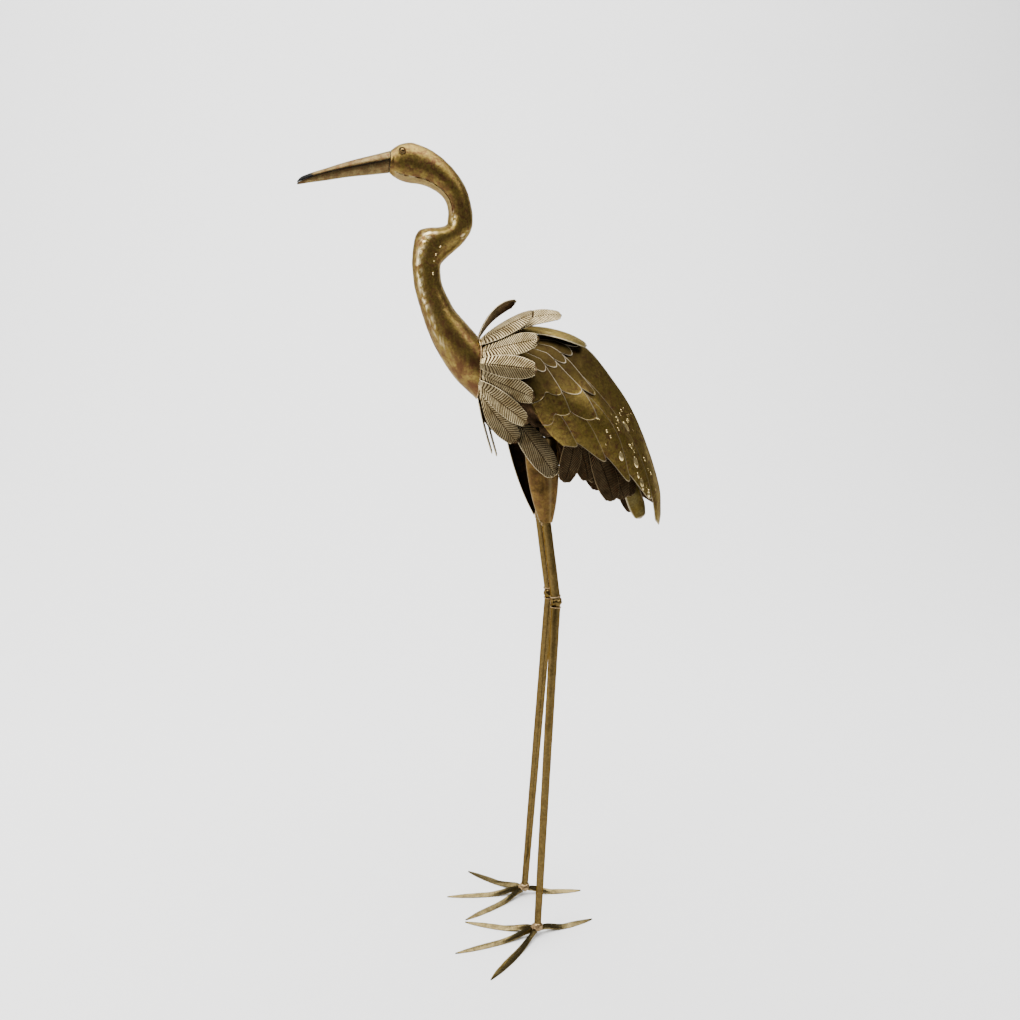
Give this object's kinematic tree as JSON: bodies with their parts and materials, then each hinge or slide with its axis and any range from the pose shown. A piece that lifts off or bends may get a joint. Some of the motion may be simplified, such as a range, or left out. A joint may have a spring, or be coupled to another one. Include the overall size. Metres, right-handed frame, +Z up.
{
  "type": "crane garden statue",
  "caption": "Standing sheet-metal crane or heron for the garden, with an S-shaped neck, long beak, layered feather plates, pressed wings, thin tube legs and splayed toes.",
  "frame": {"origin": "on the ground, under the middle of the box that the statue fills", "axes": "+Z up, the bird faces -X, its left side is -Y"},
  "size_m": [0.4488, 0.2694, 1.0197],
  "materials": {
    "aged_brass": "aged olive brass with a dark mottled patina, lacquered to a soft gloss, feather edges rubbed pale",
    "dark_brass": "dark brown patina, satin",
    "tube_brass": "aged brass tube and strip with brown streaks, lacquered",
    "beak_brass": "mottled brown and grey patina, black towards the tip",
    "eye_bead": "black gloss bead"
  },
  "bodies": {
    "root": {"back_feather_left": "aged_brass", "back_feather_right": "aged_brass", "body": "dark_brass", "collar_feather_left_1": "aged_brass", "collar_feather_left_2": "aged_brass", "collar_feather_left_3": "aged_brass", "collar_feather_left_4": "aged_brass", "collar_feather_left_5": "aged_brass", "collar_feather_left_6": "aged_brass", "collar_feather_left_7": "aged_brass", "collar_feather_right_1": "aged_brass", "collar_feather_right_2": "aged_brass", "collar_feather_right_3": "aged_brass", "collar_feather_right_4": "aged_brass", "collar_feather_right_5": "aged_brass", "collar_feather_right_6": "aged_brass", "collar_feather_right_7": "aged_brass", "eye_left": "eye_bead", "eye_right": "eye_bead", "knee_left": "tube_brass", "knee_right": "tube_brass", "lower_beak": "beak_brass", "lower_leg_left": "tube_brass", "lower_leg_right": "tube_brass", "neck_and_head": "aged_brass", "shoulder_feather_left_high": "aged_brass", "shoulder_feather_left_low": "aged_brass", "shoulder_feather_right_high": "aged_brass", "shoulder_feather_right_low": "aged_brass", "skirt_feather_left_1": "dark_brass", "skirt_feather_left_2": "dark_brass", "skirt_feather_left_3": "dark_brass", "skirt_feather_left_4": "dark_brass", "skirt_feather_left_5": "dark_brass", "skirt_feather_left_6": "dark_brass", "skirt_feather_right_1": "dark_brass", "skirt_feather_right_2": "dark_brass", "skirt_feather_right_3": "dark_brass", "skirt_feather_right_4": "dark_brass", "skirt_feather_right_5": "dark_brass", "skirt_feather_right_6": "dark_brass", "tail_feather_left": "aged_brass", "tail_feather_right": "aged_brass", "thigh_left": "dark_brass", "thigh_right": "dark_brass", "toe_left_back": "tube_brass", "toe_left_inner": "tube_brass", "toe_left_middle": "tube_brass", "toe_left_outer": "tube_brass", "toe_right_back": "tube_brass", "toe_right_inner": "tube_brass", "toe_right_middle": "tube_brass", "toe_right_outer": "tube_brass", "upper_beak": "beak_brass", "upper_leg_left": "tube_brass", "upper_leg_right": "tube_brass", "wing_left": "aged_brass", "wing_right": "aged_brass"}
  },
  "joints": []
}
